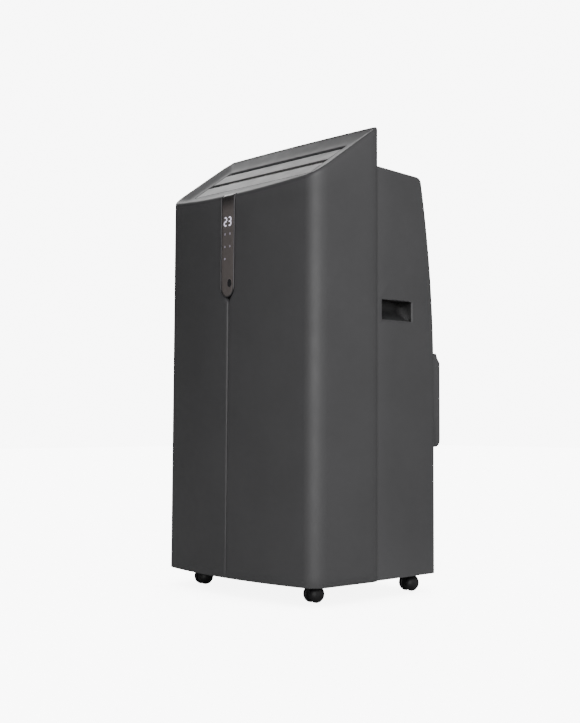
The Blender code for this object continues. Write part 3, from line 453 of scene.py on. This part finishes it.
def side_path():
    """From the front corner's start to the seam: (x, y, outward x, outward y)."""
    start_x = corner_start()
    centre = Vector((REACH, front_y(start_x) - CORNER * math.sin(CORNER_START)))
    path = []
    for i in range(15):
        angle = CORNER_START * (1 - i / 14)
        path.append((centre.x + CORNER * math.cos(angle), centre.y + CORNER * math.sin(angle),
                     math.cos(angle), math.sin(angle)))
    end = Y_SEAM - SEAM_ROLL_Y
    for i in range(1, 7):
        t = i / 7
        x = FRONT_HALF + (SEAM_HALF - FRONT_HALF) * t
        path.append((x, centre.y + (end - centre.y) * t, 1.0, -SIDE_SLOPE * (1 - t)))
    for i in range(9):
        angle = math.pi / 2 * i / 8
        out = Vector((math.cos(angle) / SEAM_ROLL_X, math.sin(angle) / SEAM_ROLL_Y)).normalized()
        x = SEAM_LIP_X + SEAM_ROLL_X * math.cos(angle)
        path.append((x, end + SEAM_ROLL_Y * math.sin(angle), *out))
    return path


def front_normal(x):
    return Vector((2 * BOW * x / REACH ** 2, -1.0)).normalized()


def bezier(points, t):
    """A point on the curve that the control points define."""
    points = [Vector(p) for p in points]
    while len(points) > 1:
        points = [a.lerp(b, t) for a, b in zip(points, points[1:])]
    return points[0]


def inner_edge(z):
    """Half width of the display's seat, of the funnel below it and of the crease; and its depth."""
    high, low = FUNNEL
    down = max(0.0, (low - z) / (low - Z_CASE))
    crease = CREASE_HALF[0] + (CREASE_HALF[1] - CREASE_HALF[0]) * down
    depth = CREASE_DEPTH[0] + (CREASE_DEPTH[1] - CREASE_DEPTH[0]) * down
    if z >= high:
        return SEAT_HALF, SEAT_DEPTH
    if z <= low:
        return crease, depth
    t = (high - z) / (high - low)
    ease = t * t * (3 - 2 * t)
    return SEAT_HALF + (crease - SEAT_HALF) * ease, SEAT_DEPTH + (depth - SEAT_DEPTH) * ease


def front_shells():
    """The two front panels: face, crease edge, corner, side and rolled seam edge in one sheet."""
    heights = [Z_CASE + 0.0012, 0.045, 0.08, 0.13, 0.19, 0.25, 0.31, 0.37, 0.42, 0.45, 0.466]
    heights += [0.472 + 0.0025 * i for i in range(14)] + [0.52, 0.55, 0.59, 0.62]
    sides = side_path()
    fractions = [0.0, 0.02, 0.05, 0.1, 0.18, 0.28, 0.4, 0.52, 0.64, 0.76, 0.88]

    def columns(z, inset=0.0):
        edge, depth = inner_edge(z)
        seat = z > (FUNNEL[0] + FUNNEL[1]) / 2
        row = []
        bottom_x = edge - SEAT_EDGE if seat else max(CREASE_GAP, edge - CREASE_EDGE)
        for i in range(7):
            angle = math.pi / 2 * i / 6
            along = math.sin(angle) if seat else 1 - math.cos(angle)
            sunk = (1 - math.sin(angle)) ** (1.4 if seat else 1.0)
            row.append((bottom_x + (edge - bottom_x) * along, front_y(edge) + depth * sunk, 0.0, -1.0))
        end = corner_start()
        for f in fractions[1:]:
            x = edge + (end - edge) * f
            row.append((x, front_y(x), *front_normal(x)))
        row += sides
        row.append((SEAM_LIP_X - 0.008, Y_SEAM - 0.0001, 0.0, 1.0))
        return [(x - nx * inset, y - ny * inset) for x, y, nx, ny in row]

    rows = [[(x, y, Z_CASE) for x, y in columns(Z_CASE, 0.0012)],
            [(x, y, Z_CASE + 0.0004) for x, y in columns(Z_CASE, 0.0004)]]
    rows += [[(x, y, z) for x, y in columns(z)] for z in heights]
    base = rows[-1]
    for t in (0.5, 1.0):
        rows.append([(x, y, z + (rim_height(x, y) - BAND - z) * t) for x, y, z in base])
    rows.append([(x, y, rim_height(x, y) - BAND + 0.0001) for x, y in columns(0.62, 0.0005)])
    for side, name in ((1, "right"), (-1, "left")):
        placed = rows if side > 0 else [[(-x, y, z) for x, y, z in reversed(row)] for row in rows]
        shell = sheet("front_shell_" + name, placed)
        modifier(shell, "SOLIDIFY", thickness=WALL, offset=-1.0)
        settle(shell, 40.0)
        piece(shell, "casing", "chassis", "casing_plastic", "front_panel_" + name)


def nearest_on_opening(x, v, grow=0.0, corner=0.003):
    """The opening's edge, seen from a place on the deck."""
    half = OPENING_X + grow - corner
    low, high = OPENING[0] - grow + corner, OPENING[1] + grow - corner
    inner = Vector((max(-half, min(half, x)), max(low, min(high, v))))
    out = (Vector((x, v)) - inner).normalized()
    return inner + out * corner


def dish_drop(t):
    """The field's depth along the way in from the rim: an even slope that eases out."""
    return 1.29 * t if t < 0.55 else 1 - 1.43 * (1 - t) ** 2


def deck_shell():
    """The slanted top: outer band, rolled rim, sunk field and the opening's edge, as one ring."""
    end = corner_start()
    right = [(x, front_y(x), *front_normal(x)) for x in (end * (i / 16) for i in range(16))] + side_path()
    right.append((DECK_BACK_HALF, Y_SEAM, 0.0, 1.0))
    left = [(-x, y, -nx, ny) for x, y, nx, ny in reversed(right[1:])]
    back = [((DECK_BACK_HALF - GAP) * (1 - i / 8), Y_SEAM, 0.0, 1.0) for i in range(17)]
    ring = left + right + back
    rows = [[] for _ in range(21)]
    back_start = len(left) + len(right)
    for index, (x, y, nx, ny) in enumerate(ring):
        top = rim_height(x, y)
        low = DECK_BACK_LOW if index >= back_start else top - BAND
        crest = ny > 0.5 and abs(x) < SEAM_LIP_X - 0.001
        roll = CREST_ROLL if crest else ROLL
        run = roll * (math.cos(SLOPE) if abs(ny) > 0.5 else 1.0)
        inner_x, inner_y = x - nx * run, y - ny * run
        if y > Y_SEAM - SEAM_ROLL_Y - 0.0001 and not crest:
            inner_x = x - math.copysign(ROLL, x)
            inner_y = y - CREST_ROLL * max(0.0, ny)
        start, corner = (x, y, top - roll), (x, y, top)
        inner = (inner_x, inner_y, rim_height(inner_x, inner_y))
        points = [(x, y, low)] + [bezier((start, corner, inner), i / 6) for i in range(7)]
        local = DECK_FRAME.inverted() @ Vector(inner)
        edge = nearest_on_opening(local.x, local.y, 0.0008)
        for i in range(1, 11):
            t = i / 10
            place_x, place_v = local.x + (edge.x - local.x) * t, local.y + (edge.y - local.y) * t
            points.append(DECK_FRAME @ Vector((place_x, place_v, local.z * (1 - t) - FIELD * dish_drop(t))))
        lip = nearest_on_opening(local.x, local.y)
        points.append(DECK_FRAME @ Vector(((edge.x + lip.x) / 2, (edge.y + lip.y) / 2, -FIELD - 0.0002)))
        points.append(DECK_FRAME @ Vector((lip.x, lip.y, -FIELD - 0.0009)))
        points.append(DECK_FRAME @ Vector((lip.x, lip.y, -OPENING_WALL)))
        for row, point in zip(rows, points):
            row.append(tuple(point))
    deck = sheet("deck_shell", rows, closed=True)
    modifier(deck, "SOLIDIFY", thickness=DECK_WALL, offset=-1.0)
    settle(deck, 40.0)
    piece(deck, "deck", "chassis", "casing_plastic", "top_deck")


def louvre_blades():
    """Two blades flush with the field, each rolling down into the slot above it.

    The skin lies over the CAD blade, which draws in under it.
    """
    half = OPENING_X - BLADE_END_GAP
    turn = DECK_FRAME.to_3x3()
    sink = turn @ Vector((0.0, 0.0, -CORE_SINK))
    for name, (low, high) in BLADES.items():
        start = high - SLOT_ROLL
        section = [(low, -FIELD - BLADE_FRONT), (low, -FIELD - BLADE_EASE), (low + 0.0005, -FIELD)]
        section += [(low + (start - low) * i / 6, -FIELD) for i in range(1, 7)]
        for degrees in (20, 40, 60, 80, 90):
            angle = math.radians(degrees)
            fall = SLOT_ROLL * (1 - math.cos(angle))
            section.append((start + SLOT_ROLL * math.sin(angle), -FIELD - fall))
        section.append((high, -FIELD - BLADE_TAIL))
        middle = [half * i / 8 for i in range(-7, 8)]
        across = [-half, -half + BLADE_EASE] + middle + [half - BLADE_EASE, half]
        rows = []
        for x in across:
            drop = BLADE_EASE if abs(x) == half else 0.0
            rows.append([tuple(DECK_FRAME @ Vector((x, v, h - drop))) for v, h in section])
        blade = sheet(name + "_skin", rows[::-1])
        modifier(blade, "SOLIDIFY", thickness=BLADE_WALL, offset=-1.0)
        settle(blade, 40.0)
        piece(blade, "blade", body_of(frame["nodes"][name])[0], "casing_plastic")
        core = refined(name, "blade", "casing_plastic", 0.0004)
        for vertex in core.data.vertices:
            local = DECK_FRAME.inverted() @ vertex.co
            if local.z > -FIELD - 0.0032:
                inward = ((low + high) / 2 - local.y) * CORE_DRAW
                vertex.co += sink + turn @ Vector((0.0, inward, 0.0))


def rear_half_width(y):
    """The rear body narrows a little towards its back."""
    along = (y - Y_SEAM) / (Y_BACK - Y_SEAM)
    return REAR_FRONT_HALF + (REAR_BACK_HALF - REAR_FRONT_HALF) * along


def back_y(z):
    """The back face, upright below and leaning forward above."""
    return Y_BACK - max(0.0, z - LEAN_START) ** 2 / (2 * LEAN_RADIUS)


def rear_ring(back, z, rise=0.0, pivot=0.0):
    """One outline of the rear body; rise tilts it about a place in y."""
    turn = REAR_CORNER
    centre = (rear_half_width(back) - turn, back - turn)
    right = [(rear_half_width(Y_SEAM), Y_SEAM + 2 * GAP)]
    right += [(rear_half_width(y), y) for y in (0.03, 0.07)]
    for i in range(9):
        angle = math.pi / 2 * i / 8
        right.append((centre[0] + turn * math.cos(angle), centre[1] + turn * math.sin(angle)))
    outline = right + [(-x, y) for x, y in reversed(right)]
    return [(x, y, z + rise * (pivot - y)) for x, y in outline]


def rear_housing():
    """The rear body as one shell, open at the seam and below, with its holes cut through."""
    heights = (Z_REAR_CASE, 0.10, 0.20, 0.30, LEAN_START, 0.40, 0.44, 0.48, 0.52, 0.56, 0.60, 0.63, 0.66)
    levels = [(back_y(z), z) for z in heights]
    top = Z_REAR_TOP_BACK
    for i in range(7):
        angle = math.pi / 2 * i / 6
        back = back_y(top - TOP_EDGE) - TOP_EDGE + TOP_EDGE * math.cos(angle)
        levels.append((back, top - TOP_EDGE + TOP_EDGE * math.sin(angle)))
    rise = (Z_REAR_TOP_FRONT - Z_REAR_TOP_BACK) / (levels[-1][0] - Y_SEAM)
    rings = []
    for back, z in levels:
        share = max(0.0, (z - top + TOP_EDGE) / TOP_EDGE)
        rings.append(rear_ring(back, z, rise * share, back))
    work = bmesh.new()
    made = [[work.verts.new(p) for p in ring] for ring in rings]
    for low, high in zip(made, made[1:]):
        for i in range(len(low) - 1):
            work.faces.new((low[i], low[i + 1], high[i + 1], high[i]))
    last = made[-1]
    half = len(last) // 2
    for i in range(half - 1):
        work.faces.new((last[i], last[i + 1], last[-2 - i], last[-1 - i]))
    bmesh.ops.remove_doubles(work, verts=work.verts, dist=MERGE)
    housing = from_bmesh("rear_housing", work)
    modifier(housing, "SOLIDIFY", thickness=WALL, offset=-1.0)
    cutters = []
    for side in (-1, 1):
        x = sorted((side * 0.17, side * 0.21))
        mouth = CUP_MOUTH + 0.0002
        cutters.append(box_cutter((x[0], HANDLE_Y[0] - mouth, HANDLE_Z[0] - mouth),
                                  (x[1], HANDLE_Y[1] + mouth, HANDLE_Z[1] + mouth)))
    for low, high in INLETS:
        cutters.append(box_cutter((-INLET_X, 0.09, low), (INLET_X, 0.2, high)))
    cutters.append(round_cutter(*EXHAUST, EXHAUST_BORE))
    cutters += [round_cutter(DRAIN_X, z, SMALL_HOLE, 24) for z in DRAINS]
    cutters.append(round_cutter(*CORD, SMALL_HOLE, 24))
    cut(housing, *cutters)
    piece(housing, "casing", "chassis", "casing_plastic",
          "rear_side_left", "rear_side_right", "rear_back_panel", "rear_top_panel")


def scoop_depth(s, t):
    """Depth of a hand recess; s runs from its front end to its back end, t from bottom to top."""
    rise = math.sin(math.pi / 2 * min(1.0, t / 0.85))
    ramp = math.sin(math.pi / 2 * min(1.0, (1.0 - s) / (0.36 - 0.26 * t)))
    from_bottom = CUP_CHAMFER + CUP_SLOPE * rise
    from_back = CUP_CHAMFER + CUP_SLOPE * ramp
    return 0.0005 + (from_bottom ** -8 + from_back ** -8 + CUP_FLOOR ** -8) ** -0.125


def handle_cups():
    """Hand recesses: a scooped floor that deepens to the top and front, chamfered below and behind."""
    across = [0.0, 0.0, 0.01, 0.08, 0.2, 0.32, 0.44, 0.56, 0.66, 0.75, 0.83, 0.90, 0.965, 0.97, 1.0]
    up = [0.0, 0.07, 0.07, 0.15, 0.25, 0.36, 0.48, 0.60, 0.72, 0.84, 0.94, 0.985, 1.0, 1.0]
    for side, name in ((1, "right"), (-1, "left")):
        rows = []
        for j, t in enumerate(up):
            row = []
            for i, s in enumerate(across):
                y = HANDLE_Y[0] - CUP_MOUTH + (HANDLE_Y[1] - HANDLE_Y[0] + 2 * CUP_MOUTH) * s
                z = HANDLE_Z[0] - CUP_MOUTH + (HANDLE_Z[1] - HANDLE_Z[0] + 2 * CUP_MOUTH) * t
                deep = scoop_depth(s, t)
                if i in (0, len(across) - 1) or j in (0, len(up) - 1):
                    deep = 0.0
                elif i == len(across) - 2 or j == 1:
                    deep = CUP_CHAMFER
                row.append((side * (rear_half_width(y) - deep), y, z))
            rows.append(row if side > 0 else row[::-1])
        cup = sheet("handle_cup_%s_finish" % name, rows)
        modifier(cup, "SOLIDIFY", thickness=CUP_WALL, offset=-1.0)
        settle(cup, 40.0)
        # the cup material paints shade into the recess's deep parts
        piece(cup, "cup", "chassis", "casing_plastic", "handle_cup_" + name)


# ---- display ------------------------------------------------------------------------------------
def strip_line():
    """The strip's middle line from its round end up over the rim: (forward, height, half width)."""
    line = []
    for i in range(9):
        angle = math.pi / 2 * i / 8
        line.append((PROUD, STRIP_CENTRE - STRIP_HALF * math.cos(angle), STRIP_HALF * math.sin(angle)))
    line += [(PROUD, z, STRIP_HALF) for z in STRIP_LEVELS]
    top = rim_height(0.0, front_y(0.0))
    reach = ROLL * math.cos(SLOPE)
    for i in range(7):
        t = i / 6
        on_rim = bezier(((0.0, top - ROLL), (0.0, top), (-reach, top + reach * math.tan(SLOPE))), t)
        lift = PROUD * (1 - t) + 0.0004 * t
        line.append((on_rim.x + lift * math.cos(t * 0.9), on_rim.y + lift * math.sin(t * 0.9), STRIP_HALF))
    return line


def display():
    """The glossy cover, the trim round it and a black sheet, standing in for shade, where the seat narrows
    into the crease.
    """
    face = front_y(0.0)
    line = strip_line()
    across = (-1.0, -0.985, -0.95, -0.85, -0.5, 0.0, 0.5, 0.85, 0.95, 0.985, 1.0)
    rows = []
    for forward, z, half in line:
        row = []
        for f in across:
            drop = 0.0009 * max(0.0, (abs(f) - 0.85) / 0.15) ** 2
            row.append((f * max(half - 0.0003, 0.0002), face - forward + drop, z))
        rows.append(row)
    cover = sheet("display_cover_finish", rows)
    modifier(cover, "SOLIDIFY", thickness=COVER_WALL, offset=-1.0)
    settle(cover, 40.0)
    piece(cover, "gloss", "chassis", "display_gloss", "display_cover")

    # the trim is a slim ridge swept round the strip, its outer wall reaching back to the panel
    section = ((-0.0001, 0.0010), (-0.0001, -0.0003), (0.0002, -0.0006), (0.0009, -0.0006),
               (0.0014, -0.0003), (TRIM, 0.0001), (TRIM, PROUD + 0.0035), (0.0008, PROUD + 0.0040))
    path = [(f, z, h, 1) for f, z, h in reversed(line)] + [(f, z, h, -1) for f, z, h in line[1:]]
    rows = []
    for out, back in section:
        row = []
        for forward, z, half, side in path:
            if z < STRIP_CENTRE:
                away = Vector((side * half, z - STRIP_CENTRE)).normalized()
                x, height = away.x * (STRIP_HALF + out), STRIP_CENTRE + away.y * (STRIP_HALF + out)
            else:
                x, height = side * (STRIP_HALF + out), z
            row.append((x, face - forward + back, height))
        rows.append(row)
    trim = sheet("display_trim_finish", rows)
    modifier(trim, "SOLIDIFY", thickness=0.0003, offset=-1.0)
    settle(trim, 35.0)
    piece(trim, "bright", "chassis", "trim_metal", "display_trim")

    # painted shade: a black sheet behind the funnel, dark in place of the shade in the gap
    rows = []
    for half, z in ((0.0182, 0.515), (0.0182, 0.500), (0.012, 0.486), (0.006, 0.470)):
        rows.append([(-half, face + 0.0062, z), (0.0, face + 0.0070, z), (half, face + 0.0062, z)])
    funnel_shade_sheet = sheet("crease_shade_sheet", rows)
    modifier(funnel_shade_sheet, "SOLIDIFY", thickness=0.0006, offset=-1.0)
    settle(funnel_shade_sheet)
    piece(funnel_shade_sheet, "black", "chassis", "black_plastic")


def flat_shape(name, outline, y, thickness, material):
    """A thin plate on the display, drawn in x and z."""
    work = bmesh.new()
    face = work.faces.new([work.verts.new((x, y, z)) for x, z in outline])
    if face.normal.y > 0:
        face.normal_flip()
    made = from_bmesh(name, work)
    modifier(made, "SOLIDIFY", thickness=thickness, offset=1.0)
    settle(made)
    return piece(made, material, "chassis", "display_gloss")


def ellipse(x, z, half_x, half_z, steps):
    turns = [math.tau * k / steps for k in range(steps)]
    return [(x + half_x * math.cos(turn), z + half_z * math.sin(turn)) for turn in turns]


def digits():
    """Seven-segment figures, the small lamps below them and the infrared window at the strip's foot."""
    y = front_y(0.0) - PROUD - 0.00005
    bars = {"a": (0.5, 1.0, False), "g": (0.5, 0.5, False), "d": (0.5, 0.0, False),
            "f": (0.0, 0.75, True), "b": (1.0, 0.75, True), "e": (0.0, 0.25, True), "c": (1.0, 0.25, True)}
    half = DIGIT_PEN / 2
    for place_x, lit, order in ((-DIGIT_X, "abged", "tens"), (DIGIT_X, "abgcd", "units")):
        for bar in lit:
            across, up, upright = bars[bar]
            x = place_x + (across - 0.5) * (DIGIT_WIDTH - DIGIT_PEN)
            z = DIGIT_Z + (up - 0.5) * (DIGIT_HEIGHT - DIGIT_PEN)
            length = (DIGIT_HEIGHT - DIGIT_PEN) / 2 if upright else DIGIT_WIDTH - DIGIT_PEN
            reach = length / 2 - 0.0003
            outline = [(-reach, 0), (-reach + half, half), (reach - half, half), (reach, 0),
                       (reach - half, -half), (-reach + half, -half)]
            if upright:
                outline = [(b, a) for a, b in outline]
            outline = [(x + a, z + b) for a, b in outline]
            flat_shape("digit_%s_%s" % (order, bar), outline, y, PLATE, "lit")
    for i, (x, z, half_x, half_z) in enumerate(LAMPS):
        flat_shape("lamp_%d" % (i + 1), ellipse(x, z, half_x, half_z, 20), y, PLATE, "lamp")
    flat_shape("receiver_window", ellipse(*RECEIVER, 32), y, EYE_PLATE, "enamel")


# ---- build --------------------------------------------------------------------------------------
front_shells()
deck_shell()
rear_housing()
handle_cups()
display()
digits()

louvre_blades()
refined("exhaust_outlet", "casing", "casing_plastic", 0.0012, 3)
for node in ("upper_inlet_grille", "lower_inlet_grille"):
    refined(node, "casing", "casing_plastic", 0.0005, 2)
for node in ("base_pan", "cord_inlet_bush"):
    refined(node, "black", "black_plastic", 0.0006)
for node in ("upper_drain_plug", "lower_drain_plug"):
    refined(node, "rubber", "rubber", 0.0006)
for end in ("front_left", "front_right", "rear_left", "rear_right"):
    refined("caster_body_" + end, "black", "black_plastic", 0.0008)
    refined("caster_wheels_" + end, "nylon", "wheel_nylon", 0.0022, 4)

CARRIED = {
    "casing_plastic": "casing", "black_plastic": "black", "wheel_nylon": "nylon", "display_gloss": "gloss",
    "trim_metal": "bright", "rubber": "rubber", "steel": "steel", "copper": "copper", "fins": "fins",
    "white_plastic": "white", "circuit_board": "board", "filter_mesh": "mesh", "black_enamel": "enamel",
}
slots = {part["node"]: part["material_slot"] for part in frame["record"]["subparts"]}
for name, node in frame["nodes"].items():
    if not node.hide_render:
        node.data.materials.clear()
        node.data.materials.append(MAT[CARRIED[slots[name]]])

# ---- camera -------------------------------------------------------------------------------------
cam_data = bpy.data.cameras.new("camera")
cam = bpy.data.objects.new("camera", cam_data)
scene.collection.objects.link(cam)
cam.matrix_world = (Matrix.Translation((1.5190, -1.3437, 0.2847))
                    @ Matrix.Rotation(math.radians(46.87), 4, "Z")
                    @ Matrix.Rotation(math.radians(94.04), 4, "X")
                    @ Matrix.Rotation(math.radians(0.16), 4, "Z"))
cam_data.sensor_width = 36.0
cam_data.sensor_fit = "AUTO"
cam_data.lens = 58.3
cam_data.shift_x = -0.0616
cam_data.shift_y = -0.0330
scene.camera = cam


# ---- floor and light ----------------------------------------------------------------------------
def studio():
    """A pale floor and backdrop with a painted contact shadow dimming the floor's glow near the unit, a
    soft world with brighter patches, and two soft panels.
    """
    work = bmesh.new()
    bmesh.ops.create_grid(work, x_segments=4, y_segments=4, size=9.0)
    floor = from_bmesh("floor", work)
    made, tree, bsdf = shader("floor", (0.55, 0.55, 0.55), 0.7)
    ray = add_node(tree, "ShaderNodeLightPath").outputs["Is Camera Ray"]
    # painted contact shadow: ambient occlusion dims the floor's glow near the unit
    painted_contact_shadow = add_node(tree, "ShaderNodeAmbientOcclusion", {"Distance": 0.10}, samples=8).outputs["AO"]
    glow = spread(tree, painted_contact_shadow, 6.2, 8.6, 0.10, 0.80)
    strength = add_node(tree, "ShaderNodeMath", {0: ray, 1: glow}, operation="MULTIPLY").outputs[0]
    bsdf.inputs["Emission Color"].default_value = (1.0, 1.0, 1.0, 1.0)
    tree.links.new(strength, bsdf.inputs["Emission Strength"])
    floor.data.materials.append(made)

    world = bpy.data.worlds.new("studio")
    scene.world = world
    world.use_nodes = True
    tree = world.node_tree
    direction = add_node(tree, "ShaderNodeTexCoord").outputs["Generated"]
    level = add_node(tree, "ShaderNodeValue").outputs[0]
    level.default_value = BASE_LIGHT
    for toward, start, end, gain in PATCHES:
        facing = add_node(tree, "ShaderNodeVectorMath", {0: direction, 1: toward}, operation="DOT_PRODUCT")
        part = spread(tree, facing.outputs["Value"], 0.0, gain, start, end)
        level = add_node(tree, "ShaderNodeMath", {0: level, 1: part}, operation="ADD").outputs[0]
    ray = add_node(tree, "ShaderNodeLightPath").outputs["Is Camera Ray"]
    seen = add_node(tree, "ShaderNodeMix", {0: ray, 2: level, 3: BACKDROP}, data_type="FLOAT")
    background = tree.nodes["Background"]
    background.inputs["Color"].default_value = (1.0, 1.0, 1.0, 1.0)
    tree.links.new(seen.outputs[0], background.inputs["Strength"])

    panel("key_panel", place_at=(1.75, -1.65, 0.6), aim=(0.0, 0.0, 0.35), size=(1.9, 1.8), energy=35.0)
    panel("top_panel", place_at=(-4.6, 0.7, 4.1), aim=(0.0, -0.08, 0.70), size=(2.8, 1.8), energy=20.0)


def panel(name, place_at, aim, size, energy):
    """A soft rectangular light aimed at a point."""
    lamp = bpy.data.lights.new(name, "AREA")
    lamp.shape = "RECTANGLE"
    lamp.size, lamp.size_y = size
    lamp.energy = energy
    holder = bpy.data.objects.new(name, lamp)
    scene.collection.objects.link(holder)
    holder.location = place_at
    holder.rotation_mode = "QUATERNION"
    holder.rotation_quaternion = (Vector(aim) - holder.location).to_track_quat("-Z", "Y")
    holder.visible_camera = False


studio()
